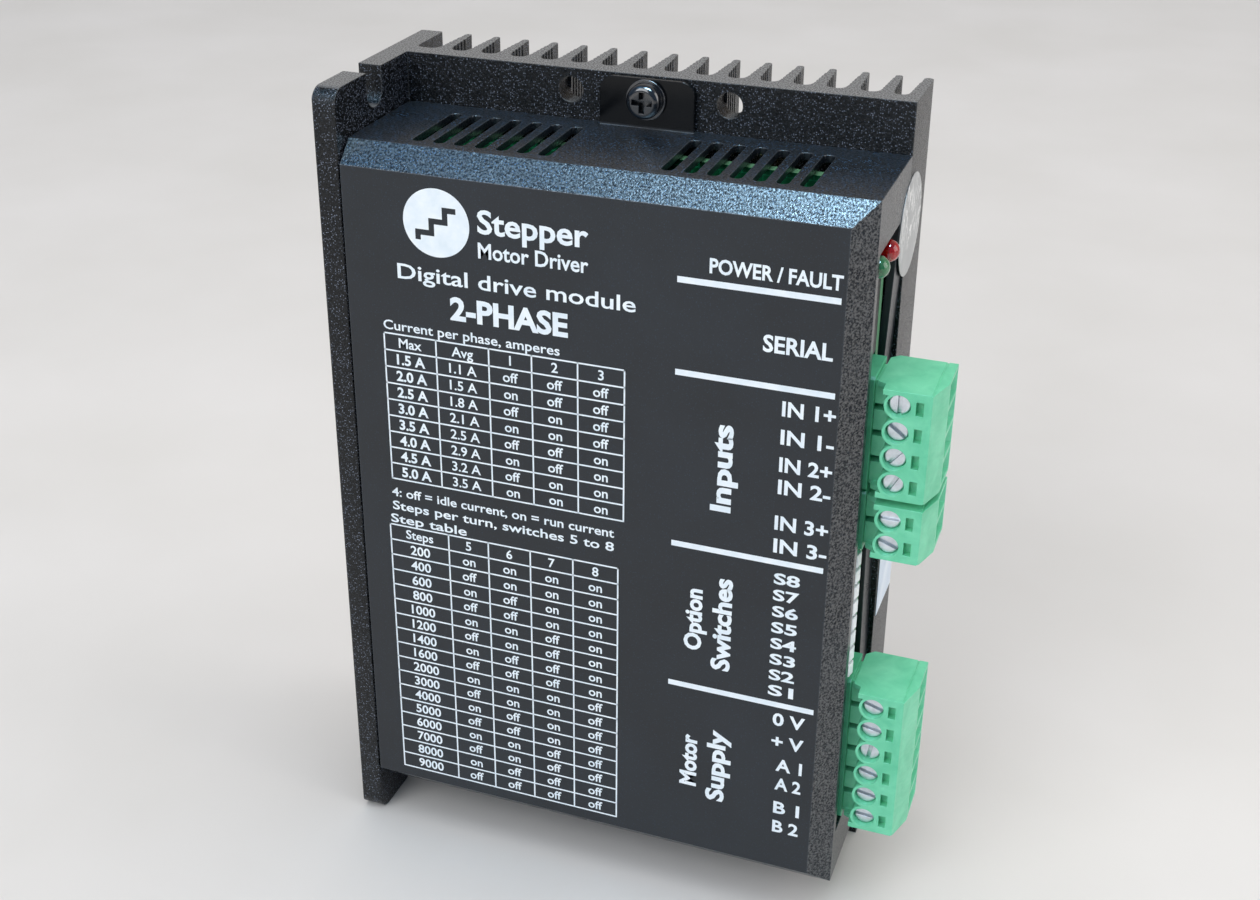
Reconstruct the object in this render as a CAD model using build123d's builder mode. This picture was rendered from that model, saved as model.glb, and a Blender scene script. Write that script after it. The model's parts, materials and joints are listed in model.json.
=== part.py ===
from build123d import *
import math
import os

# Stepper motor driver module: an L-shaped finned heat sink, a folded sheet cover, a circuit
# board with its parts, and pluggable screw terminals along the right-hand side.
# Millimetres. +Z runs along the heat sink extrusion, -Y is the printed front face and +X the
# connector side. The origin is on the bottom end face of the heat sink's back plate, in the
# middle of the plate's thickness, on the cover's centre line.

# --- Heat sink -----------------------------------------------------------------------------
sink_length = 118.0
plate_t = 2.9
cover_half_w = 36.05
wall_t = 3.4
front_depth = 21.6
fin_length = 9.0
fin_count = 15
fin_pitch = 4.513
first_fin_x = -31.79
fin_tip_t = 1.0
fin_root_t = 1.9
fin_root_r = 1.1
end_fin_tip_t = 1.3
end_fin_root_t = 1.9
end_fin_root_r = 0.8
plate_front = -plate_t / 2
plate_back = plate_t / 2
case_front = plate_front - front_depth
fin_tip = plate_back + fin_length
wall_inner = -cover_half_w
wall_outer = wall_inner - wall_t
side_x = cover_half_w

# Fixing features of the heat sink: all of them sit on two rows, one near each end.
row_inset = 3.0
fixing_rows = (row_inset, sink_length - row_inset)
plate_hole_d = 3.6
plate_hole_x = 11.3
side_notch_w = 4.4
side_notch_y = -11.72
wall_corner_r = 2.5
screw_hole_d = 3.0
screw_shank_d = 2.9

# --- Cover -----------------------------------------------------------------------------------
sheet_t = 1.0
seam = 0.25
fit_gap = 0.05
cover_top = 110.95
cover_bottom = 5.85
cover_bevel = 2.9
cover_corner_r = 1.5
vent_length = 13.3
vent_w = 1.7
vent_pitch = 3.0
vent_count = 7
vent_groups = (-17.7, 17.1)
vent_y = -11.7
tab_w = 13.4
tab_tip_gap = 0.2
tab_corner_r = 2.0
window_front = -18.75
window_rear = -6.55
window_top = 103.5
window_bottom = 13.9
strip_bow = 1.0

# --- Cover fixings ---------------------------------------------------------------------------
cover_screw_head_d = 4.8
cover_screw_head_h = 1.6
cover_screw_length = 4.4
washer_d = 5.6
washer_t = 0.5
washer_hole_d = 3.2
recess_w = 0.8
recess_span = 2.9
recess_depth = 1.2
recess_taper = 8
crown_share = 0.55

# --- Circuit board and its supports ----------------------------------------------------------
board_t = 1.6
board_back = -7.45
board_front = board_back - board_t
board_left = -35.4
board_right = 34.6
board_bottom = 7.4
board_top = 109.4
board_corner_r = 1.0
standoff_af = 5.5
standoff_floor = 0.5
standoff_points = ((-29.0, 13.0), (-29.0, 103.5), (17.0, 103.5), (12.0, 13.0))
stud_depth = 2.0
board_screw_head_d = 5.5
board_screw_head_h = 2.0
board_screw_length = 5.5

# --- Power stage between the board and the heat sink -----------------------------------------
transistor_w = 10.2
transistor_l = 9.0
transistor_t = 4.5
transistor_grid = (13.0, 17.0)
transistor_columns = 4
transistor_rows = 2
transistor_centre = (-6.0, 44.0)
transistor_lead_w = 0.9
transistor_lead_l = 4.0
transistor_lead_pitch = 2.54
transistor_leads = 3
pad_margin = 3.0
pad_corner_r = 2.0
pad_t = plate_front - (board_back + transistor_t)

# --- Parts on the front of the board ---------------------------------------------------------
capacitor_d = 12.5
capacitor_length = 26.0
capacitor_points = ((-24.0, 34.0), (-9.5, 34.0), (5.0, 34.0))
sleeve_edge = 0.8
crimp_offset = 2.5
crimp_w = 1.0
crimp_depth = 0.5
# Packages on the board: width, height, thickness, then centre X and centre Z.
controller = (14.0, 14.0, 1.5, -4.0, 78.0)
regulator = (6.6, 6.2, 2.3, -20.0, 92.0)
coil = (10.0, 10.0, 4.5, -6.0, 96.0)
optocoupler_size = (6.5, 4.6, 3.4)
optocoupler_x = 17.0
optocoupler_z = (84.5, 77.3, 70.1)
driver_size = (5.0, 6.2, 1.6)
driver_x = 18.0
driver_z = (20.0, 29.5, 39.0, 48.5)
shunt_size = (3.2, 6.4, 0.7)
shunt_x = (-21.5, -16.0, -10.5, -5.0)
shunt_z = 14.0
package_edge = 0.15
port_w = 12.0
port_height = 10.9
port_length = 12.5
port_z = 92.3
port_mouth_w = 9.7
port_mouth_h = 6.9
port_latch_w = 3.4
port_latch_h = 2.0
port_depth = 9.5
port_edge = 0.4
led_d = 3.0
led_z = 101.2
led_dome_x = 35.55
alarm_led_y = -10.85
power_led_y = -16.9
led_back_x = 29.0
led_lead_w = 0.5
led_lead_pitch = 2.54
alarm_lead_x = 25.9
power_lead_x = 24.6
holder_length = 6.4
holder_right = 32.6
holder_front = -19.4
holder_h = 4.8
holder_bore_d = 3.1

# --- Option switches -------------------------------------------------------------------------
switch_count = 8
switch_pitch = 2.54
switch_z = 49.5
switch_body_length = 20.6
switch_body_back = 25.5
switch_body_right = 34.0
switch_body_front = -18.5
lever_pivot_x = 30.0
lever_pivot_y = -14.75
lever_hub_r = 1.3
lever_tip_reach = 6.1
lever_t = 1.7
lever_w = 2.0
lever_throw = 12.0
lever_gap = 0.05
swing_gap = 0.12
lever_edge = 0.3
slot_w = lever_w + 2 * lever_gap

# --- Pluggable terminals ---------------------------------------------------------------------
pin_pitch = 3.81
terminals = {"signal": (4, 77.5), "enable": (2, 64.5), "power": (6, 26.7)}
slot_angles = {
    "signal": (90, -37, 50, 62),
    "enable": (0, -20),
    "power": (-18, -10, 80, -15, -10, -3),
}
header_end = 2.6
header_mouth = 36.2
header_length = 9.3
header_height = 7.25
header_wall = 0.65
header_front_wall = 1.0
header_back_wall = 0.8
header_floor = 1.2
header_edge = 0.4
header_front = board_front - header_height
cavity_front = header_front + header_front_wall
cavity_back = board_front - header_back_wall
pin_w = 0.9
pin_tip_x = 34.3
pin_leg_x = 25.9
pin_hole_d = 1.35
pin_edge = 0.2
pin_stub = 1.0
plug_end = 2.155
plug_front = -18.25
plug_rear = plug_front + 11.0
plug_left = 36.55
plug_body_left = 37.65
plug_right = 45.35
plug_bevel_x = 1.3
plug_bevel_y = 4.3
plug_foot_bevel = 1.1
plug_step_y = 1.7
plug_ramp_y = 2.2
end_wall_t = 0.8
insert_tip = 28.6
insert_gap = 0.1
rib_slot_w = 0.9
rib_slot_depth = 1.6
terminal_x = 39.8
collar_r = 1.95
head_pocket_d = 3.1
head_recess = 0.8
head_d = 2.9
head_h = 1.15
head_edge = 0.15
driver_slot_w = 0.5
driver_slot_depth = 0.6
shank_d = 1.9
shank_hole_d = 2.1
ledge_t = 0.4
key_pocket = (1.0, 1.95)
key_pocket_x = 42.5
key_pocket_depth = 1.2
cage_w = 3.0
cage_length = 3.2
cage_plate_t = 0.8
cage_side_t = 0.4
cage_bar_t = 0.6
cage_opening = 3.6
cage_gap = 0.1
cage_travel = 2.6
tongue_t = 0.4
tongue_w = 1.6
fork_t = 0.3
fork_tip_x = 30.0
fork_bridge_x = 35.0
entry_w = 2.4
entry_h = 2.8
funnel_w = 3.1
funnel_h = 5.4
funnel_depth = 1.4
end_groove_w = 0.25
end_groove_depth = 0.12
end_groove_x = 44.0

# Depths inside a plug, from the screw head down to the clamping cage at its open position.
head_top = plug_front + head_recess
head_base = head_top + head_h
ledge_front = head_base + fit_gap
ledge_back = ledge_front + ledge_t
cage_front = ledge_back + cage_gap + cage_travel
cage_depth = cage_plate_t + cage_opening + cage_bar_t
cage_back = cage_front + cage_depth
tongue_front = cage_front + cage_plate_t + 2 * cage_gap
shank_tip = tongue_front - fit_gap
entry_y = (tongue_front + tongue_t + cage_back - cage_bar_t) / 2
pin_y = (cavity_front + cavity_back) / 2
fork_gap = pin_w / 2 + fit_gap
fork_y = (pin_y - pin_w / 2, tongue_front + tongue_t)
socket_w = 2 * (fork_gap + fork_t + fit_gap)
socket_front = fork_y[0] - fit_gap
socket_back = fork_y[1] + fit_gap

# --- Labels ----------------------------------------------------------------------------------
label_t = 0.12
seal_d = 14.0
seal_y = 0.45
seal_z = 100.9
side_label_y = (-0.65, 9.35)
side_label_z = (40.0, 72.0)


def save(part, name):
    """Labels one finished piece and writes it as its own STEP file."""
    part.label = name
    export_step(part, f"parts/{name}.step")


def pin_heights(ways, centre):
    """Heights of a terminal's ways, from the top one down."""
    return [centre + pin_pitch * ((ways - 1) / 2 - way) for way in range(ways)]


def fin_roots(corners):
    """Corners of the profile where the fins meet the back plate, from left to right."""
    on_plate = corners.filter_by_position(Axis.Y, plate_back - fit_gap, plate_back + fit_gap)
    last_root = side_x - end_fin_root_t + fit_gap
    return on_plate.filter_by_position(Axis.X, wall_inner - fit_gap, last_root).sort_by(Axis.X)


def make_heatsink():
    with BuildPart() as heatsink:
        with BuildSketch():
            with Locations(((wall_outer + wall_inner) / 2, (case_front + fin_tip) / 2)):
                Rectangle(wall_t, fin_tip - case_front)
            with Locations(((wall_outer + side_x) / 2, 0)):
                Rectangle(side_x - wall_outer, plate_t)
            for index in range(fin_count):
                fin_x = first_fin_x + fin_pitch * index
                with BuildLine():
                    root_left = (fin_x - fin_root_t / 2, plate_back)
                    root_right = (fin_x + fin_root_t / 2, plate_back)
                    tip_left = (fin_x - fin_tip_t / 2, fin_tip - fin_tip_t / 2)
                    tip_right = (fin_x + fin_tip_t / 2, fin_tip - fin_tip_t / 2)
                    Polyline(tip_left, root_left, root_right, tip_right)
                    ThreePointArc(tip_left, (fin_x, fin_tip), tip_right)
                make_face()
            with BuildLine():
                end_tip = fin_tip - end_fin_tip_t / 2
                Polyline(
                    (side_x - end_fin_tip_t, end_tip),
                    (side_x - end_fin_root_t, plate_back),
                    (side_x, plate_back),
                    (side_x, end_tip),
                )
                ThreePointArc(
                    (side_x - end_fin_tip_t, end_tip),
                    (side_x - end_fin_tip_t / 2, fin_tip),
                    (side_x, end_tip),
                )
            make_face()
            fillet(fin_roots(vertices())[:-2], fin_root_r)
            fillet(fin_roots(vertices())[-2:], end_fin_root_r)
        extrude(amount=sink_length)
        front_corners = heatsink.edges().filter_by(Axis.X).group_by(Axis.Y)[0]
        fillet(front_corners, wall_corner_r)
        with BuildSketch(Plane.YZ.offset(wall_outer)):
            for row, outward in zip(fixing_rows, (-1, 1)):
                with Locations((side_notch_y, row)):
                    Circle(side_notch_w / 2)
                with Locations((side_notch_y, row + outward * row_inset)):
                    Rectangle(side_notch_w, 2 * row_inset)
        extrude(amount=wall_t, mode=Mode.SUBTRACT)
        with BuildSketch(Plane.XZ.offset(-plate_back)):
            for row in fixing_rows:
                with Locations((-plate_hole_x, row), (plate_hole_x, row)):
                    Circle(plate_hole_d / 2)
                with Locations((0, row)):
                    Circle(screw_hole_d / 2)
        extrude(amount=plate_t, mode=Mode.SUBTRACT)
        with BuildSketch(Plane.XZ.offset(-plate_front)):
            with Locations(*standoff_points):
                Circle(screw_hole_d / 2)
        extrude(amount=-(stud_depth + fit_gap), mode=Mode.SUBTRACT)
    return heatsink.part


def make_cover():
    left = wall_inner + seam
    back = plate_front - fit_gap
    width = side_x - left
    depth = back - case_front
    height = cover_top - cover_bottom
    middle = (cover_top + cover_bottom) / 2
    with BuildPart() as cover:
        with Locations(((left + side_x) / 2, (case_front + back) / 2, middle)):
            Box(width, depth, height)
        front_edges = cover.faces().sort_by(Axis.Y)[0].edges()
        chamfer(front_edges.sort_by(Axis.X)[1:], cover_bevel)
        open_faces = [cover.faces().sort_by(Axis.Y)[-1], cover.faces().sort_by(Axis.X)[0]]
        offset(amount=-sheet_t, openings=open_faces, kind=Kind.INTERSECTION)
        with BuildSketch(Plane.XY.offset(cover_top)):
            with Locations(*[(x, vent_y) for x in vent_groups]):
                with GridLocations(vent_pitch, 1, vent_count, 1):
                    SlotOverall(vent_length, vent_w, rotation=90)
        extrude(amount=-height, mode=Mode.SUBTRACT)
        with BuildSketch(Plane.YZ.offset(side_x)):
            with Locations(((window_front + back) / 2, (window_bottom + window_top) / 2)):
                Rectangle(back - window_front, window_top - window_bottom)
        extrude(amount=-sheet_t, mode=Mode.SUBTRACT)
        with BuildSketch(Plane.XZ.offset(-back)):
            with BuildLine():
                outer_bow = side_x - strip_bow
                Line((side_x - sheet_t, window_top), (side_x, window_top))
                ThreePointArc((side_x, window_top), (outer_bow, middle), (side_x, window_bottom))
                Line((side_x, window_bottom), (side_x - sheet_t, window_bottom))
                ThreePointArc(
                    (side_x - sheet_t, window_bottom),
                    (outer_bow - sheet_t, middle),
                    (side_x - sheet_t, window_top),
                )
            make_face()
        extrude(amount=back - window_rear)
        with BuildSketch(Plane.XZ.offset(-back)):
            for edge, tip in ((cover_top, sink_length - tab_tip_gap), (cover_bottom, tab_tip_gap)):
                root = edge - math.copysign(sheet_t, tip - edge)
                with Locations((0, (root + tip) / 2)):
                    RectangleRounded(tab_w, abs(tip - root), tab_corner_r)
                with Locations((0, root + math.copysign(tab_corner_r, tip - edge))):
                    Rectangle(tab_w, 2 * tab_corner_r)
            with Locations((0, fixing_rows[0]), (0, fixing_rows[1])):
                Circle(washer_hole_d / 2, mode=Mode.SUBTRACT)
        extrude(amount=sheet_t)
        upright_edges = cover.edges().filter_by(Axis.Z)
        rear_corners = upright_edges.filter_by_position(Axis.Y, back - fit_gap, back + fit_gap)
        fillet(rear_corners.group_by(Axis.X)[0], cover_corner_r)
    return cover.part


def pan_head_screw(point, seat, head_d, head_h, length):
    """A pan head screw that points along +Y, with the underside of its head at seat."""
    x, z = point
    with BuildPart() as screw:
        with BuildSketch(Plane.XZ.offset(-seat)):
            with Locations((x, z)):
                Circle(head_d / 2)
        extrude(amount=head_h)
        crown = screw.edges().filter_by(GeomType.CIRCLE).sort_by(Axis.Y)[0]
        fillet(crown, head_h * crown_share)
        with BuildSketch(Plane.XZ.offset(-seat)):
            with Locations((x, z)):
                Circle(screw_shank_d / 2)
        extrude(amount=-length)
        with BuildSketch(Plane.XZ.offset(head_h - seat)):
            with Locations((x, z)):
                Rectangle(recess_span, recess_w)
                Rectangle(recess_w, recess_span)
        extrude(amount=-recess_depth, taper=recess_taper, mode=Mode.SUBTRACT)
    return screw.part


def make_cover_washers():
    seat = plate_front - fit_gap - sheet_t
    with BuildPart() as washers:
        with BuildSketch(Plane.XZ.offset(-seat)):
            with Locations((0, fixing_rows[0]), (0, fixing_rows[1])):
                Circle(washer_d / 2)
                Circle(washer_hole_d / 2, mode=Mode.SUBTRACT)
        extrude(amount=washer_t)
    return washers.part


def make_pcb():
    with BuildPart() as pcb:
        with BuildSketch(Plane.XZ.offset(-board_back)):
            with Locations(((board_left + board_right) / 2, (board_bottom + board_top) / 2)):
                RectangleRounded(board_right - board_left, board_top - board_bottom, board_corner_r)
            with Locations(*standoff_points):
                Circle(washer_hole_d / 2, mode=Mode.SUBTRACT)
            for ways, centre in terminals.values():
                with Locations(*[(pin_leg_x, z) for z in pin_heights(ways, centre)]):
                    Circle(pin_hole_d / 2, mode=Mode.SUBTRACT)
        extrude(amount=board_t)
    return pcb.part


def make_standoffs():
    with BuildPart() as standoffs:
        with BuildSketch(Plane.XZ.offset(-plate_front)):
            with Locations(*standoff_points):
                RegularPolygon(standoff_af / 2, 6, major_radius=False)
                Circle(screw_hole_d / 2, mode=Mode.SUBTRACT)
        extrude(amount=plate_front - board_back)
        with BuildSketch(Plane.XZ.offset(-plate_front)):
            with Locations(*standoff_points):
                Circle(screw_hole_d / 2)
        extrude(amount=standoff_floor)
        with BuildSketch(Plane.XZ.offset(-plate_front)):
            with Locations(*standoff_points):
                Circle(screw_shank_d / 2)
        extrude(amount=-stud_depth)
    return standoffs.part


def make_transistors():
    x, z = transistor_centre
    lead_z = z - (transistor_l + transistor_lead_l) / 2
    with BuildPart() as transistors:
        with BuildSketch(Plane.XZ.offset(-board_back)):
            with Locations((x, z)):
                with GridLocations(*transistor_grid, transistor_columns, transistor_rows):
                    Rectangle(transistor_w, transistor_l)
        extrude(amount=-transistor_t)
        with BuildSketch(Plane.XZ.offset(-board_back)):
            with Locations((x, lead_z)):
                with GridLocations(*transistor_grid, transistor_columns, transistor_rows):
                    with GridLocations(transistor_lead_pitch, 0, transistor_leads, 1):
                        Rectangle(transistor_lead_w, transistor_lead_l)
        extrude(amount=-transistor_lead_w)
    return transistors.part


def make_thermal_pad():
    width = (transistor_columns - 1) * transistor_grid[0] + transistor_w + 2 * pad_margin
    height = (transistor_rows - 1) * transistor_grid[1] + transistor_l + 2 * pad_margin
    x, z = transistor_centre
    with BuildPart() as pad:
        with BuildSketch(Plane.XZ.offset(-plate_front)):
            with Locations((x, z)):
                RectangleRounded(width, height, pad_corner_r)
        extrude(amount=pad_t)
    return pad.part


def make_capacitors():
    with BuildPart() as capacitors:
        for x, z in capacitor_points:
            centre_y = board_front - capacitor_d / 2
            with Locations((x, centre_y, z)):
                Cylinder(capacitor_d / 2, capacitor_length)
        rims = capacitors.edges().filter_by(GeomType.CIRCLE)
        fillet(rims, sleeve_edge)
        sleeves = [(x, board_front - capacitor_d / 2) for x, _ in capacitor_points]
        crimp_z = capacitor_points[0][1] - capacitor_length / 2 + crimp_offset
        with BuildSketch(Plane.XY.offset(crimp_z)):
            with Locations(*sleeves):
                Circle(capacitor_d / 2 + crimp_depth)
                Circle(capacitor_d / 2 - crimp_depth, mode=Mode.SUBTRACT)
        extrude(amount=crimp_w, mode=Mode.SUBTRACT)
    return capacitors.part


def make_board_chips():
    packages = [controller, regulator, coil]
    packages += [(*optocoupler_size, optocoupler_x, z) for z in optocoupler_z]
    packages += [(*driver_size, driver_x, z) for z in driver_z]
    packages += [(*shunt_size, x, shunt_z) for x in shunt_x]
    with BuildPart() as chips:
        for width, height, thickness, x, z in packages:
            with Locations((x, board_front - thickness / 2, z)):
                Box(width, thickness, height)
        level_faces = chips.faces().filter_by(Axis.Y)
        crowns = level_faces.filter_by(lambda face: face.center().Y < board_front - fit_gap)
        chamfer(crowns.edges(), package_edge)
    return chips.part


def make_serial_port():
    front = board_front - port_height
    mouth_y = (board_front + front) / 2
    with BuildPart() as port:
        with Locations((board_right - port_length / 2, mouth_y, port_z)):
            Box(port_length, port_height, port_w)
        fillet(port.edges().filter_by(Axis.X), port_edge)
        with BuildSketch(Plane.YZ.offset(board_right)):
            with Locations((mouth_y, port_z)):
                Rectangle(port_mouth_h, port_mouth_w)
            with Locations((mouth_y - (port_mouth_h + port_latch_h) / 2, port_z)):
                Rectangle(port_latch_h, port_latch_w)
        extrude(amount=-port_depth, mode=Mode.SUBTRACT)
    return port.part


def make_led_holder():
    with BuildPart() as holder:
        x = holder_right - holder_length / 2
        with Locations((x, (board_front + holder_front) / 2, led_z)):
            Box(holder_length, board_front - holder_front, holder_h)
        with BuildSketch(Plane.YZ.offset(holder_right)):
            with Locations((alarm_led_y, led_z), (power_led_y, led_z)):
                Circle(holder_bore_d / 2)
        extrude(amount=-holder_length, mode=Mode.SUBTRACT)
    return holder.part


def make_led(y, bend_x):
    with BuildPart() as led:
        with BuildSketch(Plane.YZ.offset(led_back_x)):
            with Locations((y, led_z)):
                Circle(led_d / 2)
        extrude(amount=led_dome_x - led_back_x)
        with Locations((led_dome_x, y, led_z)):
            Sphere(led_d / 2)
        for side in (-1, 1):
            lead_z = led_z + side * led_lead_pitch / 2
            run = led_back_x - bend_x + led_lead_w
            with Locations((bend_x + (run - led_lead_w) / 2, y, lead_z)):
                Box(run, led_lead_w, led_lead_w)
            drop = board_front - y
            with Locations((bend_x, y + drop / 2, lead_z)):
                Box(led_lead_w, drop, led_lead_w)
    return led.part


def lever_heights():
    """Heights of the switch levers, from the bottom one up."""
    middle = (switch_count - 1) / 2
    return [switch_z + switch_pitch * (index - middle) for index in range(switch_count)]


def make_switch_body():
    mouth_reach = switch_body_right - lever_pivot_x
    swing = math.radians(lever_throw)
    hub_half = lever_t / 2 + swing_gap
    mouth_half = mouth_reach * math.tan(swing) + lever_t / 2 / math.cos(swing) + swing_gap
    with BuildPart() as body:
        centre_x = (switch_body_back + switch_body_right) / 2
        with Locations((centre_x, (board_front + switch_body_front) / 2, switch_z)):
            Box(
                switch_body_right - switch_body_back,
                board_front - switch_body_front,
                switch_body_length,
            )
        fillet(body.faces().sort_by(Axis.Y)[0].edges(), lever_edge)
        for z in lever_heights():
            with BuildSketch(Plane.XY.offset(z - slot_w / 2)):
                with Locations((lever_pivot_x, lever_pivot_y)):
                    Circle(lever_hub_r + lever_gap)
                with BuildLine():
                    Polyline(
                        (lever_pivot_x, lever_pivot_y - hub_half),
                        (switch_body_right, lever_pivot_y - mouth_half),
                        (switch_body_right, lever_pivot_y + mouth_half),
                        (lever_pivot_x, lever_pivot_y + hub_half),
                        close=True,
                    )
                make_face()
            extrude(amount=slot_w, mode=Mode.SUBTRACT)
    return body.part


def make_lever(z):
    pivot = Plane.XY.offset(z - lever_w / 2).move(Pos(lever_pivot_x, lever_pivot_y, 0))
    with BuildPart() as lever:
        with BuildSketch(pivot.rotated((0, 0, -lever_throw))):
            Circle(lever_hub_r)
            with Locations((lever_tip_reach / 2, 0)):
                Rectangle(lever_tip_reach, lever_t)
        extrude(amount=lever_w)
        tip_edges = lever.faces().sort_by(Axis.X)[-1].edges().filter_by(Axis.Z)
        fillet(tip_edges, lever_edge)
    return lever.part


def make_header(ways, centre):
    height = (ways - 1) * pin_pitch + 2 * header_end
    with BuildPart() as header:
        with Locations((header_mouth - header_length / 2, (header_front + board_front) / 2, centre)):
            Box(header_length, header_height, height)
        chamfer(header.edges().filter_by(Axis.X).sort_by(Axis.Y)[:2], header_edge)
        with BuildSketch(Plane.YZ.offset(header_mouth)):
            with Locations(((cavity_front + cavity_back) / 2, centre)):
                Rectangle(cavity_back - cavity_front, height - 2 * header_wall)
        extrude(amount=header_floor - header_length, mode=Mode.SUBTRACT)
        with BuildSketch(Plane.YZ.offset(header_mouth - header_length)):
            with Locations(*[(pin_y, z) for z in pin_heights(ways, centre)]):
                Rectangle(pin_w + fit_gap, pin_w + fit_gap)
        extrude(amount=header_floor, mode=Mode.SUBTRACT)
    return header.part


def make_header_pins():
    with BuildPart() as pins:
        for ways, centre in terminals.values():
            for z in pin_heights(ways, centre):
                reach = pin_tip_x - pin_leg_x + pin_w / 2
                with Locations((pin_tip_x - reach / 2, pin_y, z)):
                    Box(reach, pin_w, pin_w)
                leg_end = board_back + pin_stub
                with Locations((pin_leg_x, (pin_y + leg_end) / 2, z)):
                    Box(pin_w, leg_end - pin_y, pin_w)
        chamfer(pins.faces().filter_by(Axis.X).group_by(Axis.X)[-1].edges(), pin_edge)
    return pins.part


def make_plug(ways, centre):
    heights = pin_heights(ways, centre)
    height = (ways - 1) * pin_pitch + 2 * plug_end
    bottom = centre - height / 2
    top = centre + height / 2
    foot_y = plug_rear - plug_foot_bevel
    insert_height = height - 2 * (plug_end - header_end + header_wall + insert_gap)
    with BuildPart() as plug:
        # End-wall outline: bevelled foot, full right-hand face and a bevel towards the screws.
        with BuildSketch(Plane.XY.offset(bottom)):
            with BuildLine():
                Polyline(
                    (plug_left, foot_y),
                    (plug_left + plug_foot_bevel, plug_rear),
                    (plug_right, plug_rear),
                    (plug_right, plug_front + plug_bevel_y),
                    (plug_right - plug_bevel_x, plug_front),
                    (plug_body_left, plug_front),
                    (plug_body_left, plug_front + plug_step_y),
                    (plug_left, plug_front + plug_ramp_y),
                    close=True,
                )
            make_face()
        extrude(amount=height)
        # Between the end walls the left-hand side steps back to the round screw collars.
        with BuildSketch(Plane.XZ.offset(-plug_front)):
            with Locations(((plug_left + terminal_x) / 2, centre)):
                Rectangle(terminal_x - plug_left, height - 2 * end_wall_t)
            with Locations(*[(terminal_x, z) for z in heights]):
                Circle(collar_r, mode=Mode.SUBTRACT)
        extrude(amount=-(cavity_front + insert_gap - plug_front), mode=Mode.SUBTRACT)
        # Contact block that enters the header.
        with BuildSketch(Plane.YZ.offset(insert_tip)):
            with Locations(((cavity_front + cavity_back) / 2, centre)):
                Rectangle(cavity_back - cavity_front - 2 * insert_gap, insert_height)
        extrude(amount=terminal_x - insert_tip)
        with BuildSketch(Plane.XZ.offset(-cavity_front)):
            slot_x = (insert_tip + plug_body_left) / 2
            with Locations(*[(slot_x, z - pin_pitch / 2) for z in heights[:-1]]):
                Rectangle(plug_body_left - insert_tip, rib_slot_w)
        extrude(amount=-(rib_slot_depth + insert_gap), mode=Mode.SUBTRACT)
        with BuildSketch(Plane.YZ.offset(insert_tip)):
            with Locations(*[((socket_front + socket_back) / 2, z) for z in heights]):
                Rectangle(socket_back - socket_front, socket_w)
        extrude(amount=terminal_x - insert_tip, mode=Mode.SUBTRACT)
        # Screw pockets, the ledge under each head and the small pockets beside the heads.
        with BuildSketch(Plane.XZ.offset(-plug_front)):
            with Locations(*[(terminal_x, z) for z in heights]):
                Circle(head_pocket_d / 2)
        extrude(amount=-(ledge_front - plug_front), mode=Mode.SUBTRACT)
        with BuildSketch(Plane.XZ.offset(-plug_front)):
            with Locations(*[(terminal_x, z) for z in heights]):
                Circle(shank_hole_d / 2)
        extrude(amount=-(ledge_back - plug_front), mode=Mode.SUBTRACT)
        with BuildSketch(Plane.XZ.offset(-plug_front)):
            with Locations(*[(key_pocket_x, z) for z in heights]):
                Rectangle(*key_pocket)
        extrude(amount=-key_pocket_depth, mode=Mode.SUBTRACT)
        # Cage chambers and the wire entries with their square funnels.
        with BuildSketch(Plane.XZ.offset(-ledge_back)):
            with Locations(*[(terminal_x, z) for z in heights]):
                Rectangle(cage_length + 2 * cage_gap, cage_w + 2 * cage_gap)
        extrude(amount=-(cage_back + cage_gap - ledge_back), mode=Mode.SUBTRACT)
        with BuildSketch(Plane.YZ.offset(plug_right)):
            with Locations(*[(entry_y, z) for z in heights]):
                Rectangle(entry_h, entry_w)
        extrude(amount=terminal_x - plug_right, mode=Mode.SUBTRACT)
        funnel_floor = plug_right - funnel_depth
        for z in heights:
            with BuildSketch(Plane.YZ.offset(plug_right)):
                with Locations((entry_y, z)):
                    Rectangle(funnel_h, funnel_w)
            with BuildSketch(Plane.YZ.offset(funnel_floor)):
                with Locations((entry_y, z)):
                    Rectangle(entry_h, entry_w)
            loft(mode=Mode.SUBTRACT)
        # Shallow line round each end where the moulded cap meets the body.
        for end, direction in ((bottom, 1), (top, -1)):
            with BuildSketch(Plane.XY.offset(end)):
                with Locations((end_groove_x, (plug_front + plug_rear) / 2)):
                    Rectangle(end_groove_w, plug_rear - plug_front)
            extrude(amount=direction * end_groove_depth, mode=Mode.SUBTRACT)
    return plug.part


def make_contacts(ways, centre):
    """Contacts of one plug: each has a tongue in the cage and a fork astride the header pin."""
    tongue_right = terminal_x + cage_length / 2
    tongue_y = tongue_front + tongue_t / 2
    fork_length = fork_bridge_x - fork_tip_x
    with BuildPart() as contacts:
        for z in pin_heights(ways, centre):
            with Locations(((fork_bridge_x + tongue_right) / 2, tongue_y, z)):
                Box(tongue_right - fork_bridge_x, tongue_t, tongue_w)
            for side in (-1, 1):
                blade_z = z + side * (fork_gap + fork_t / 2)
                with Locations((fork_tip_x + fork_length / 2, sum(fork_y) / 2, blade_z)):
                    Box(fork_length, fork_y[1] - fork_y[0], fork_t)
    return contacts.part


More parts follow.
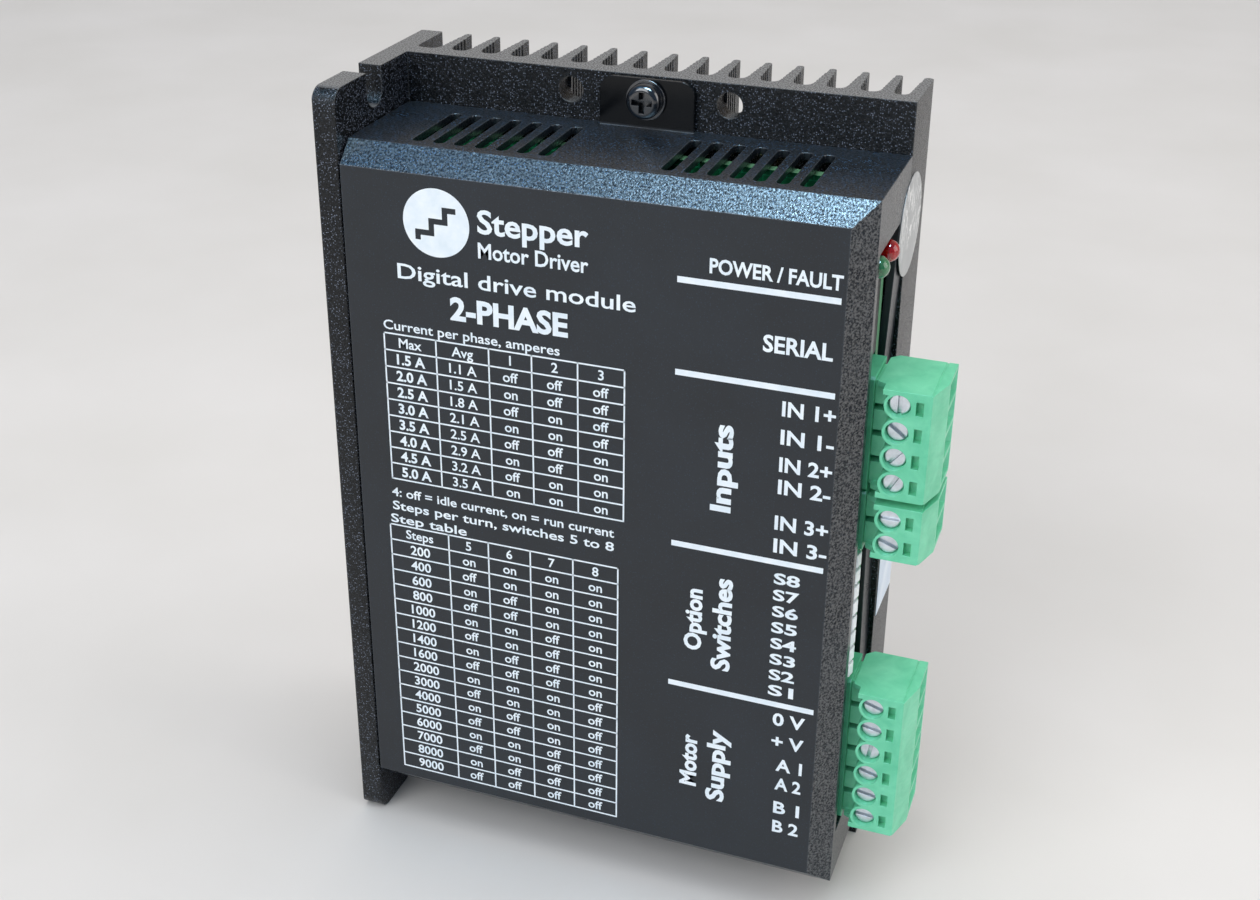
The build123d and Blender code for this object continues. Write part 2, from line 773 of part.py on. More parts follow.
def make_terminal_screw(z, slot_angle):
    with BuildPart() as screw:
        with BuildSketch(Plane.XZ.offset(-head_base)):
            with Locations((terminal_x, z)):
                Circle(head_d / 2)
        extrude(amount=head_h)
        rim = screw.edges().filter_by(GeomType.CIRCLE).sort_by(Axis.Y)[0]
        chamfer(rim, head_edge)
        with BuildSketch(Plane.XZ.offset(-head_base)):
            with Locations((terminal_x, z)):
                Circle(shank_d / 2)
        extrude(amount=-(shank_tip - head_base))
        with BuildSketch(Plane.XZ.offset(-head_top)):
            with Locations((terminal_x, z)):
                Rectangle(head_d, driver_slot_w, rotation=slot_angle)
        extrude(amount=-driver_slot_depth, mode=Mode.SUBTRACT)
    return screw.part


def make_cage(z):
    with BuildPart() as cage:
        with Locations((terminal_x, (cage_front + cage_back) / 2, z)):
            Box(cage_length, cage_depth, cage_w)
        opening_y = cage_front + cage_plate_t + cage_opening / 2
        with Locations((terminal_x, opening_y, z)):
            Box(cage_length, cage_opening, cage_w - 2 * cage_side_t, mode=Mode.SUBTRACT)
        with BuildSketch(Plane.XZ.offset(-cage_front)):
            with Locations((terminal_x, z)):
                Circle(shank_d / 2 + fit_gap)
        extrude(amount=-cage_plate_t, mode=Mode.SUBTRACT)
    return cage.part


def make_seal():
    with BuildPart() as seal:
        with BuildSketch(Plane.YZ.offset(side_x)):
            with Locations((seal_y, seal_z)):
                Circle(seal_d / 2)
        extrude(amount=label_t)
    return seal.part


def make_side_label():
    with BuildPart() as label:
        with BuildSketch(Plane.YZ.offset(side_x)):
            with Locations((sum(side_label_y) / 2, sum(side_label_z) / 2)):
                Rectangle(side_label_y[1] - side_label_y[0], side_label_z[1] - side_label_z[0])
        extrude(amount=label_t)
    return label.part


os.makedirs("parts", exist_ok=True)

save(make_heatsink(), "heatsink")
save(make_cover(), "cover")
cover_seat = plate_front - fit_gap - sheet_t - washer_t
cover_screws = [
    pan_head_screw((0, row), cover_seat, cover_screw_head_d, cover_screw_head_h, cover_screw_length)
    for row in fixing_rows
]
save(Compound(children=cover_screws), "cover_screws")
save(make_cover_washers(), "cover_washers")
save(make_pcb(), "pcb")
save(make_standoffs(), "pcb_standoffs")
board_screws = [
    pan_head_screw(point, board_front, board_screw_head_d, board_screw_head_h, board_screw_length)
    for point in standoff_points
]
save(Compound(children=board_screws), "pcb_screws")
save(make_transistors(), "power_transistors")
save(make_thermal_pad(), "thermal_pad")
save(make_capacitors(), "capacitors")
save(make_board_chips(), "board_chips")
save(make_serial_port(), "serial_port")
save(make_led_holder(), "led_holder")
save(make_led(alarm_led_y, alarm_lead_x), "alarm_led")
save(make_led(power_led_y, power_lead_x), "power_led")
save(make_switch_body(), "dip_switch_body")
for number, z in enumerate(lever_heights(), start=1):
    save(make_lever(z), f"dip_lever_{number}")
for name, (ways, centre) in terminals.items():
    save(make_header(ways, centre), f"{name}_header")
    save(make_plug(ways, centre), f"{name}_plug")
    save(make_contacts(ways, centre), f"{name}_contacts")
    for number, z in enumerate(pin_heights(ways, centre), start=1):
        save(make_terminal_screw(z, slot_angles[name][number - 1]), f"{name}_screw_{number}")
        save(make_cage(z), f"{name}_cage_{number}")
save(make_header_pins(), "header_pins")
save(make_seal(), "seal_sticker")
save(make_side_label(), "side_label")
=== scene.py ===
import json
import math

import bmesh
import bpy
from mathutils import Matrix, Vector


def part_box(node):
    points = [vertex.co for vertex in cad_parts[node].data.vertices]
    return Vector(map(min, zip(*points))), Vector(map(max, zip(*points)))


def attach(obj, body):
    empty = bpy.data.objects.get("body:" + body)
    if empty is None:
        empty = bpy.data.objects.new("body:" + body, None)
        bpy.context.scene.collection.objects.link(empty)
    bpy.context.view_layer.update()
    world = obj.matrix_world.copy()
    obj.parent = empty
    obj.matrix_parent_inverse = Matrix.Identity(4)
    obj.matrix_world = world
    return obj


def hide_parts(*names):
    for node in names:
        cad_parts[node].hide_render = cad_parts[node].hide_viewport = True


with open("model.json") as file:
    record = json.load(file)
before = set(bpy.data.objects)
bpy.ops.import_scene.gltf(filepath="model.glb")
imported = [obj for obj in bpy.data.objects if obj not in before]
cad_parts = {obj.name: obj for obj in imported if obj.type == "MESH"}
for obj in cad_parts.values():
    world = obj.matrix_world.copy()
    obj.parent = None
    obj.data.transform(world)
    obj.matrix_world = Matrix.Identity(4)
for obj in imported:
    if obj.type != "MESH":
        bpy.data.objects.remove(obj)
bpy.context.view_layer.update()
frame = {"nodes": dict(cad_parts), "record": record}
nodes = frame["nodes"]
MM = 0.001
QUARTER = math.pi / 2

# ---------------------------------------------------------------- sizes shared with the CAD
SINK_LOW, SINK_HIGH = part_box("heatsink")
COVER_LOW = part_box("cover")[0]
LENGTH = SINK_HIGH.z
WALL_OUTER = SINK_LOW.x
SIDE_X = SINK_HIGH.x
FRONT_Y = SINK_LOW.y
FIN_TIP = SINK_HIGH.y
WALL_T = 3.4 * MM
WALL_INNER = WALL_OUTER + WALL_T
PLATE_FRONT = -1.45 * MM
PLATE_BACK = 1.45 * MM
FIN_COUNT = 15
FIN_PITCH = 4.513 * MM
FIRST_FIN = -31.79 * MM
# Half thicknesses of the fins and of the end fin, at root and tip.
FIN_HALF = (0.95 * MM, 0.52 * MM)
END_HALF = (1.1 * MM, 0.66 * MM)
RIB_PITCH = 1.2 * MM
RIB_DEPTH = 0.13 * MM
# A rib's shape up the fin: shares of the pitch, and 1 where the groove is.
RIB_SHAPE = ((0.0, 0.0), (0.45, 0.0), (0.62, 1.0), (0.85, 1.0))
FIN_ROOT_R = 1.1 * MM
END_ROOT_R = 0.8 * MM
EDGE_R = 0.35 * MM
# Heights of the two rows of holes and side notches.
ROWS = (3.0 * MM, LENGTH - 3.0 * MM)
NOTCH_Y = -11.72 * MM
NOTCH_R = 2.2 * MM
# How far a notch's cutter runs outward, past the end of the extrusion.
NOTCH_REACH = 6 * MM
# Holes in each row, as distance from the middle and radius.
PLATE_HOLES = ((-11.3 * MM, 1.8 * MM), (11.3 * MM, 1.8 * MM), (0.0, 1.5 * MM))
WALL_CORNER_R = 2.5 * MM
# The cover's own height, without its two tabs.
COVER_MIDDLE = 58.4 * MM
COVER_HALF = 52.55 * MM


# ---------------------------------------------------------------- node helpers for materials
class Shader:
    """Small wrapper that adds and links shader nodes of one material."""

    def __init__(self, name):
        self.material = bpy.data.materials.new(name)
        self.material.use_nodes = True
        self.tree = self.material.node_tree
        self.bsdf = self.tree.nodes["Principled BSDF"]
        self.coord = self.tree.nodes.new("ShaderNodeTexCoord").outputs["Object"]

    def node(self, kind, inputs=None, **settings):
        made = self.tree.nodes.new(kind)
        for key, value in settings.items():
            setattr(made, key, value)
        for key, value in (inputs or {}).items():
            self.put(made.inputs[key], value)
        return made

    def put(self, socket, value):
        if isinstance(value, bpy.types.NodeSocket):
            self.tree.links.new(value, socket)
        else:
            socket.default_value = value

    def set(self, **inputs):
        for key, value in inputs.items():
            self.put(self.bsdf.inputs[key.replace("_", " ")], value)

    def noise(self, size_mm, detail=3.0, rough=0.5, stretch=None, distort=0.0):
        vector = self.coord
        if stretch:
            mapping = self.node("ShaderNodeMapping", {"Vector": vector, "Scale": stretch})
            vector = mapping.outputs[0]
        made = self.node("ShaderNodeTexNoise", {
            "Vector": vector, "Scale": 1.0 / (size_mm * MM), "Detail": detail,
            "Roughness": rough, "Distortion": distort})
        return made.outputs["Fac"]

    def specks(self, size_mm, radius, share):
        """Scattered dots of differing strength, one to a cell, in the given share of cells, used
        as painted glints.
        """
        cells = self.node("ShaderNodeTexVoronoi", {
            "Vector": self.coord, "Scale": 1.0 / (size_mm * MM)})
        dot = self.ramp(cells.outputs["Distance"], radius, 0.5 * radius)
        pick = self.ramp(self.separate(cells.outputs["Color"])["X"], 1.0 - share, 1.0)
        return self.math("MULTIPLY", dot, pick)

    def ramp(self, value, low, high, out_low=0.0, out_high=1.0):
        made = self.node("ShaderNodeMapRange", {
            "Value": value, "From Min": low, "From Max": high,
            "To Min": out_low, "To Max": out_high})
        made.clamp = True
        return made.outputs[0]

    def math(self, operation, a, b=0.0):
        made = self.node("ShaderNodeMath", operation=operation)
        self.put(made.inputs[0], a)
        self.put(made.inputs[1], b)
        return made.outputs[0]

    def mix(self, factor, a, b):
        made = self.node("ShaderNodeMix", data_type="RGBA")
        self.put(made.inputs[0], factor)
        self.put(made.inputs[6], a)
        self.put(made.inputs[7], b)
        return made.outputs[2]

    def edge(self, radius_mm):
        """1 on rounded-over edges, 0 on open faces."""
        rounded = self.node("ShaderNodeBevel", {"Radius": radius_mm * MM}, samples=4).outputs[0]
        normal = self.node("ShaderNodeNewGeometry").outputs["Normal"]
        dot = self.node("ShaderNodeVectorMath", operation="DOT_PRODUCT")
        self.put(dot.inputs[0], rounded)
        self.put(dot.inputs[1], normal)
        return self.ramp(dot.outputs["Value"], 0.995, 0.9)

    def bump(self, heights, bevel_mm=0.0):
        """Chains bumps of (height, strength, distance in mm), over an optional edge bevel."""
        normal = None
        if bevel_mm:
            normal = self.node("ShaderNodeBevel", {"Radius": bevel_mm * MM}, samples=4).outputs[0]
        for height, strength, distance in heights:
            inputs = {"Height": height, "Strength": strength, "Distance": distance * MM}
            if normal is not None:
                inputs["Normal"] = normal
            normal = self.node("ShaderNodeBump", inputs).outputs[0]
        self.set(Normal=normal)

    def separate(self, vector):
        return self.node("ShaderNodeSeparateXYZ", {"Vector": vector}).outputs

    def facing(self):
        """The X, Y and Z of the true surface normal."""
        return self.separate(self.node("ShaderNodeNewGeometry").outputs["True Normal"])


def rgb(code):
    """A linear colour from a hex sRGB code."""
    parts = [int(code[i:i + 2], 16) / 255 for i in (0, 2, 4)]
    return [*(c / 12.92 if c <= 0.04045 else ((c + 0.055) / 1.055) ** 2.4 for c in parts), 1.0]


# ---------------------------------------------------------------- materials
def anodised():
    s = Shader("anodised")
    grain = s.noise(0.27, 2.0, 0.75)
    fine = s.noise(0.15, 1.0, 0.5)
    cloud = s.noise(9.0, 4.0, 0.6)
    draw = s.noise(1.1, 3.0, 0.6, stretch=(1.0, 1.0, 0.03))
    # The sawn ends of the extrusion are greyer than its drawn faces.
    sawn = s.ramp(s.math("ABSOLUTE", s.facing()["Z"]), 0.9, 0.98, 0.0, 0.8)
    base = s.mix(s.ramp(cloud, 0.3, 0.7), rgb("030406"), rgb("07090c"))
    # Painted glints: pale blue-white specks all over the black anodising stand in for light caught
    # by its grain.
    base = s.mix(s.math("MULTIPLY", s.specks(0.25, 0.38, 0.75), 0.65), base, rgb("a8b2c6"))
    base = s.mix(sawn, base, s.mix(s.ramp(grain, 0.3, 0.7), rgb("67696b"), rgb("797b7c")))
    base = s.mix(s.math("MULTIPLY", s.edge(0.22), 0.3), base, rgb("8f8f8d"))
    s.set(Base_Color=base, IOR=1.38, Roughness=s.ramp(grain, 0.3, 0.7, 0.18, 0.36))
    s.bump([(draw, 0.1, 0.04), (grain, s.ramp(sawn, 0.0, 0.8, 0.8, 0.25), 0.14),
            (fine, s.ramp(sawn, 0.0, 0.8, 0.7, 0.2), 0.07)], 0.18)
    return s.material


def cover_paint():
    s = Shader("cover_paint")
    peel = s.noise(0.3, 2.0, 0.6)
    fine = s.noise(0.16, 1.0, 0.5)
    cloud = s.noise(14.0, 4.0, 0.55)
    axes = s.facing()
    # The printed face is smoother than the sprayed sides, and the two tabs are glossy.
    face = s.ramp(axes["Y"], -0.9, -0.99)
    height = s.math("SUBTRACT", s.separate(s.coord)["Z"], COVER_MIDDLE)
    off_centre = s.math("ABSOLUTE", height)
    tab = s.ramp(off_centre, COVER_HALF + 0.1 * MM, COVER_HALF + 0.4 * MM)
    base = s.mix(s.ramp(cloud, 0.35, 0.65), rgb("12161b"), rgb("181d23"))
    # Painted glints: pale blue specks, strongest on upward faces, stand in for the sky light
    # caught by the paint's grain.
    upward_glint_share = s.ramp(axes["Z"], 0.3, 0.7, 0.05, 0.5)
    base = s.mix(s.math("MULTIPLY", s.specks(0.3, 0.36, 0.8), upward_glint_share), base, rgb("5f92c8"))
    base = s.mix(s.math("MULTIPLY", s.edge(0.25), 0.22), base, rgb("7d858c"))
    base = s.mix(tab, base, rgb("07090c"))
    rough = s.math("ADD", s.ramp(cloud, 0.3, 0.7, 0.26, 0.3),
                   s.math("MULTIPLY", face, 0.16))
    rough = s.math("SUBTRACT", rough, s.math("MULTIPLY", tab, 0.26))
    # The grain away from the face glints unevenly; the tabs reflect least.
    glint = s.math("MULTIPLY", s.ramp(peel, 0.38, 0.62, -0.2, 0.6), s.math("SUBTRACT", 1.0, face))
    ior = s.math("SUBTRACT", s.math("ADD", glint, 1.5), s.math("MULTIPLY", tab, 0.2))
    s.set(Base_Color=base, Roughness=rough, IOR=ior)
    strength = s.math("MULTIPLY", s.ramp(face, 0.0, 1.0, 0.3, 0.1),
                      s.ramp(tab, 0.0, 1.0, 1.0, 0.1))
    s.bump([(peel, strength, 0.13), (fine, strength, 0.08)], 0.2)
    return s.material


def black_zinc():
    s = Shader("black_screw")
    cloud = s.noise(0.9, 4.0, 0.6)
    brush = s.noise(0.3, 3.0, 0.6)
    base = s.mix(s.ramp(cloud, 0.3, 0.7), rgb("0b0c0f"), rgb("191b20"))
    s.set(Base_Color=base, IOR=1.8, Roughness=s.ramp(brush, 0.25, 0.75, 0.08, 0.2),
          Coat_Weight=0.25, Coat_Roughness=0.06)
    s.bump([(brush, 0.25, 0.015), (cloud, 0.2, 0.05)], 0.06)
    return s.material


def print_ink():
    s = Shader("print_ink")
    cloud = s.noise(2.2, 3.0, 0.6)
    fine = s.noise(0.12, 2.0, 0.5)
    base = s.mix(s.ramp(cloud, 0.3, 0.7), rgb("dfe9ef"), rgb("f0f5f8"))
    s.set(Base_Color=base, Roughness=0.5)
    s.bump([(fine, 0.15, 0.01)])
    return s.material


def moulded(name, dark, light, rough, scatter=0.0):
    s = Shader(name)
    flow = s.noise(3.5, 4.0, 0.55, distort=0.6)
    fine = s.noise(0.25, 2.0, 0.5)
    marks = s.noise(0.5, 3.0, 0.6, stretch=(1.0, 0.25, 1.0))
    base = s.mix(s.ramp(flow, 0.3, 0.7), rgb(dark), rgb(light))
    base = s.mix(s.math("MULTIPLY", s.edge(0.12), 0.25), base, rgb(light))
    s.set(Base_Color=base, Roughness=s.ramp(marks, 0.3, 0.7, rough - 0.06, rough + 0.08),
          Subsurface_Weight=scatter, Subsurface_Radius=(0.6 * MM, 0.9 * MM, 0.6 * MM))
    s.bump([(flow, 0.1, 0.08), (fine, 0.16, 0.012)], 0.08)
    return s.material


def metal(name, dark, light, rough, marks=0.3):
    s = Shader(name)
    cloud = s.noise(1.6, 4.0, 0.6)
    brush = s.noise(0.25, 3.0, 0.6)
    base = s.mix(s.ramp(cloud, 0.3, 0.7), rgb(dark), rgb(light))
    s.set(Base_Color=base, Metallic=0.92,
          Roughness=s.ramp(brush, 0.25, 0.75, rough - 0.3 * marks, rough + 0.5 * marks))
    s.bump([(brush, marks, 0.012), (cloud, 0.12, 0.03)], 0.06)
    return s.material


def solder_mask():
    s = Shader("pcb_green")
    axes = s.separate(s.coord)
    # Tracks run under the mask; the cut edge shows the pale laminate.
    tracks = s.node("ShaderNodeTexBrick", {
        "Vector": s.node("ShaderNodeCombineXYZ", {"X": axes["X"], "Y": axes["Z"]}).outputs[0],
        "Scale": 260.0, "Mortar Size": 0.02}).outputs["Fac"]
    flow = s.noise(6.0, 3.0, 0.5)
    base = s.mix(s.ramp(flow, 0.3, 0.7), rgb("0a4f2e"), rgb("126b42"))
    base = s.mix(s.math("MULTIPLY", tracks, 0.6), base, rgb("2b9a6b"))
    laminate = s.ramp(s.math("ABSOLUTE", s.facing()["Y"]), 0.7, 0.3)
    weave = s.noise(0.3, 2.0, 0.5, stretch=(1.0, 6.0, 1.0))
    pale = s.mix(weave, rgb("437f58"), rgb("7db089"))
    s.set(Base_Color=s.mix(laminate, base, pale), Roughness=s.ramp(flow, 0.3, 0.7, 0.25, 0.4))
    s.bump([(tracks, 0.3, 0.03), (weave, 0.15, 0.02)])
    return s.material


def lamp(name, lens_dark, lens_light, sheen_tint):
    """A clear tinted lens with bare metal leads behind it."""
    s = Shader(name)
    axes = s.separate(s.coord)
    split_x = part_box(LAMPS[name])[1].x - LENS_LENGTH
    lead = s.ramp(axes["X"], split_x, split_x - 0.02 * MM)
    flow = s.noise(1.2, 2.0, 0.5)
    tint = s.mix(s.ramp(flow, 0.3, 0.7), rgb(lens_dark), rgb(lens_light))
    # Painted sheen: the lens is lightened in a pale tint towards its outline as seen from the
    # camera.
    rim_sheen = s.node("ShaderNodeLayerWeight", {"Blend": 0.32}).outputs["Facing"]
    tint = s.mix(s.ramp(rim_sheen, 0.55, 0.95, 0.0, 0.55), tint, rgb(sheen_tint))
    s.set(Base_Color=s.mix(lead, tint, rgb("c4c6c8")), Metallic=lead,
          Roughness=s.ramp(lead, 0.0, 1.0, 0.06, 0.3),
          Transmission_Weight=s.ramp(lead, 0.0, 1.0, 0.45, 0.0),
          IOR=1.5, Coat_Weight=0.6, Coat_Roughness=0.04)
    fine = s.noise(0.3, 2.0, 0.5)
    s.bump([(fine, 0.05, 0.02)])
    return s.material


def foil():
    s = Shader("seal_foil")
    patch = s.ramp(s.noise(7.0, 2.0, 0.5), 0.42, 0.56)
    streak = s.noise(2.8, 4.0, 0.6, stretch=(1.0, 1.6, 0.7), distort=1.6)
    crease = s.noise(1.6, 3.0, 0.6, stretch=(1.0, 1.4, 0.6), distort=2.0)
    fine = s.noise(0.12, 2.0, 0.6)
    off_level = s.math("ABSOLUTE", s.math("SUBTRACT", crease, 0.5))
    line = s.ramp(off_level, 0.006, 0.03, 0.7, 0.0)
    light = s.math("MULTIPLY", s.ramp(streak, 0.48, 0.54), patch)
    base = s.mix(light, rgb("b2b2b1"), rgb("e6e5e3"))
    base = s.mix(s.math("MULTIPLY", line, patch), base, rgb("858585"))
    s.set(Base_Color=base, Metallic=0.2, Roughness=s.ramp(streak, 0.3, 0.7, 0.4, 0.55))
    s.bump([(streak, 0.2, 0.06), (crease, 0.2, 0.03), (fine, 0.1, 0.01)], 0.05)
    return s.material


def film():
    s = Shader("label_paper")
    fibre = s.noise(0.5, 4.0, 0.6)
    cloud = s.noise(6.0, 3.0, 0.5)
    base = s.mix(s.ramp(cloud, 0.3, 0.7), rgb("c9d6e6"), rgb("e3ebf4"))
    s.set(Base_Color=base, Roughness=0.42)
    s.bump([(fibre, 0.15, 0.015)], 0.05)
    return s.material


def packages():
    s = Shader("package_black")
    fine = s.noise(0.12, 3.0, 0.7)
    cloud = s.noise(4.0, 3.0, 0.5)
    base = s.mix(s.ramp(cloud, 0.3, 0.7), rgb("1c1d1f"), rgb("2b2c2e"))
    s.set(Base_Color=base, Roughness=s.ramp(fine, 0.3, 0.7, 0.5, 0.7))
    s.bump([(fine, 0.4, 0.02)], 0.05)
    return s.material


LAMPS = {"led_red": "alarm_led", "led_green": "power_led"}
LENS_LENGTH = 8.05 * MM
MATERIALS = {
    "anodised": anodised(),
    "cover_paint": cover_paint(),
    "black_screw": black_zinc(),
    "pcb_green": solder_mask(),
    "standoff_brass": metal("standoff_brass", "a98a45", "cfb067", 0.3),
    "zinc_steel": metal("zinc_steel", "bfc3c9", "e0e4ea", 0.3, marks=0.06),
    "package_black": packages(),
    "pad_grey": moulded("pad_grey", "7e858c", "9aa1a8", 0.7),
    "sleeve_black": moulded("sleeve_black", "121417", "202327", 0.22),
    "port_black": moulded("port_black", "101113", "1c1e20", 0.4),
    "led_red": lamp("led_red", "a60f12", "e01a1c", "f2d9d2"),
    "led_green": lamp("led_green", "2f7d4c", "53a871", "c9ecd2"),
    "tinned_pin": metal("tinned_pin", "b3b1a8", "d9d8d2", 0.25),
    "seal_foil": foil(),
    "label_paper": film(),
    "header_green": moulded("header_green", "42a678", "5abf92", 0.42, scatter=0.05),
    "plug_green": moulded("plug_green", "5cc296", "78d6ac", 0.36, scatter=0.06),
    "lever_white": moulded("lever_white", "dfe3e6", "f3f5f6", 0.35, scatter=0.05),
}
INK = print_ink()
SLOTS = {row["node"]: row["material_slot"] for row in frame["record"]["subparts"]}


# ---------------------------------------------------------------- mesh helpers
def new_object(name, mesh, body, material):
    made = bpy.data.objects.new(name, mesh)
    bpy.context.scene.collection.objects.link(made)
    mesh.materials.clear()
    mesh.materials.append(material)
    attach(made, body)
    return made


def prism(name, outline, low, high, axis="Z"):
    """A closed solid from an outline of (a, b) points, extruded along an axis from low to high."""
    place = {"X": lambda a, b, h: (h, a, b), "Y": lambda a, b, h: (a, h, b),
             "Z": lambda a, b, h: (a, b, h)}[axis]
    bm = bmesh.new()
    bottom = [bm.verts.new(place(a, b, low)) for a, b in outline]
    top = [bm.verts.new(place(a, b, high)) for a, b in outline]
    bm.faces.new(bottom)
    bm.faces.new(reversed(top))
    count = len(outline)
    for i in range(count):
        j = (i + 1) % count
        bm.faces.new((bottom[j], bottom[i], top[i], top[j]))
    bmesh.ops.recalc_face_normals(bm, faces=bm.faces)
    mesh = bpy.data.meshes.new(name)
    bm.to_mesh(mesh)
    bm.free()
    return mesh


def circle_points(x, y, r, count, start=0.0, sweep=math.tau):
    """Points of a whole circle, or of an arc with both its ends."""
    steps = count if sweep == math.tau else count + 1
    angles = [start + sweep * i / count for i in range(steps)]
    return [(x + r * math.cos(a), y + r * math.sin(a)) for a in angles]


def cut(mesh, cutters):
    """Subtracts closed cutter meshes from a closed mesh and returns the result."""
    target = bpy.data.objects.new("cut_target", mesh)
    bpy.context.scene.collection.objects.link(target)
    tools = []
    for cutter in cutters:
        tool = bpy.data.objects.new("cut_tool", cutter)
        bpy.context.scene.collection.objects.link(tool)
        tools.append(tool)
        modifier = target.modifiers.new("cut", "BOOLEAN")
        modifier.operation = "DIFFERENCE"
        modifier.solver = "EXACT"
        modifier.object = tool
    bpy.context.view_layer.update()
    graph = bpy.context.evaluated_depsgraph_get()
    result = bpy.data.meshes.new_from_object(target.evaluated_get(graph))
    for made in [target, *tools]:
        spent = made.data
        bpy.data.objects.remove(made)
        bpy.data.meshes.remove(spent)
    return result


def soften(made, width_mm, segments):
    """Rounds the hard edges of a CAD node over with modifiers, leaving its mesh alone."""
    weld = made.modifiers.new("weld", "WELD")
    weld.merge_threshold = 1e-6
    flat = made.modifiers.new("flat", "DECIMATE")
    flat.decimate_type = "DISSOLVE"
    flat.angle_limit = math.radians(0.6)
    bevel = made.modifiers.new("bevel", "BEVEL")
    bevel.width = width_mm * MM
    bevel.segments = segments
    bevel.limit_method = "ANGLE"
    bevel.angle_limit = math.radians(32.0)
    made.modifiers.new("normals", "WEIGHTED_NORMAL")


def shade_smooth_by_angle(mesh, angle):
    """Smooth shading, apart from edges sharper than the angle in degrees."""
    mesh.shade_smooth()
    bm = bmesh.new()
    bm.from_mesh(mesh)
    for edge in bm.edges:
        edge.smooth = len(edge.link_faces) == 2 and edge.calc_face_angle(0.0) < math.radians(angle)
    bm.to_mesh(mesh)
    bm.free()


# ---------------------------------------------------------------- heat sink with ribbed fins
def fin_side(x, halves, side, low, high):
    """Points up one side of a fin, from root to tip, with its fine extruded ribs."""
    root, tip = halves
    points = []
    y = low
    while y + RIB_PITCH <= high:
        for share, inset in RIB_SHAPE:
            at = y + share * RIB_PITCH
            t = (at - PLATE_BACK) / (FIN_TIP - PLATE_BACK)
            half = root + (tip - root) * t
            points.append((x + side * (half - inset * RIB_DEPTH), at))
        y += RIB_PITCH
    return points


def root_fillet(x, side, half_root, r):
    """Points of the concave corner at a fin's root, from the plate up the fin's side."""
    return circle_points(x + side * (half_root + r), PLATE_BACK + r, r, 5,
                         -QUARTER, -side * QUARTER)


def sink_outline():
    """The extrusion's outline: wall, plate, end fin, then the fins back to the wall."""
    low = FRONT_Y + EDGE_R
    high = FIN_TIP - EDGE_R
    outer = WALL_OUTER + EDGE_R
    inner = WALL_INNER - EDGE_R
    points = circle_points(outer, low, EDGE_R, 4, math.pi, QUARTER)
    points += circle_points(inner, low, EDGE_R, 4, -QUARTER, QUARTER)
    points += [(WALL_INNER, PLATE_FRONT), (SIDE_X, PLATE_FRONT)]
    # End fin, flush with the side.
    tip_r = 0.65 * MM
    end_x = SIDE_X - tip_r
    margin = 0.9 * MM
    points += circle_points(end_x, FIN_TIP - tip_r, tip_r, 8, 0.0, math.pi)
    points += reversed(fin_side(end_x, END_HALF, -1, PLATE_BACK + margin, FIN_TIP - margin))
    points += reversed(root_fillet(end_x, -1, END_HALF[0], END_ROOT_R))
    fin_high = FIN_TIP - 0.7 * MM
    tip_r = 0.5 * MM
    for index in reversed(range(FIN_COUNT)):
        x = FIRST_FIN + FIN_PITCH * index
        r = END_ROOT_R if index == FIN_COUNT - 1 else FIN_ROOT_R
        fin_low = PLATE_BACK + r + 0.1 * MM
        points += root_fillet(x, 1, FIN_HALF[0], r)
        points += fin_side(x, FIN_HALF, 1, fin_low, fin_high)
        points += circle_points(x, FIN_TIP - tip_r, tip_r, 8, 0.0, math.pi)
        points += reversed(fin_side(x, FIN_HALF, -1, fin_low, fin_high))
        points += reversed(root_fillet(x, -1, FIN_HALF[0], FIN_ROOT_R))
    points += circle_points(WALL_INNER + FIN_ROOT_R, PLATE_BACK + FIN_ROOT_R, FIN_ROOT_R, 5,
                            -QUARTER, -QUARTER)
    points += circle_points(inner, high, EDGE_R, 4, 0.0, QUARTER)
    points += circle_points(outer, high, EDGE_R, 4, QUARTER, QUARTER)
    return points


def notch_cutter(row, outward):
    """A round-bottomed slot through the wall, open towards its nearer end."""
    arc = circle_points(NOTCH_Y, row, NOTCH_R, 24, 0.0 if outward < 0 else math.pi, math.pi)
    end = row + outward * NOTCH_REACH
    outline = arc + [(arc[-1][0], end), (arc[0][0], end)]
    return prism("notch", outline, WALL_OUTER - MM, WALL_INNER + MM, "X")


def corner_cutter(end, outward):
    """Rounds the wall's front corner at one end of the extrusion."""
    r = WALL_CORNER_R
    arc = circle_points(FRONT_Y + r, end - outward * r, r, 12, math.pi, -outward * QUARTER)
    far = [(FRONT_Y + r, end + outward * MM), (FRONT_Y - MM, end + outward * MM),
           (FRONT_Y - MM, end - outward * r)]
    return prism("corner", arc + far, WALL_OUTER - MM, WALL_INNER + MM, "X")


def build_sink():
    cutters = []
    for row, outward in zip(ROWS, (-1, 1)):
        cutters.append(notch_cutter(row, outward))
        for x, r in PLATE_HOLES:
            ring = circle_points(x, row, r, 40)
            cutters.append(prism("hole", ring, PLATE_FRONT - MM, PLATE_BACK + MM, "Y"))
    for end, outward in ((0.0, -1), (LENGTH, 1)):
        cutters.append(corner_cutter(end, outward))
    mesh = cut(prism("heatsink_body", sink_outline(), 0.0, LENGTH), cutters)
    shade_smooth_by_angle(mesh, 30.0)
    made = new_object("heatsink_ribbed", mesh, "case", MATERIALS["anodised"])
    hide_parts("heatsink")


# ---------------------------------------------------------------- printed front face
FACE_Y = COVER_LOW.y
WALL_MM = WALL_OUTER / MM
# Half the ink's thickness.
INK_T = 0.02 * MM
RULE = 0.22


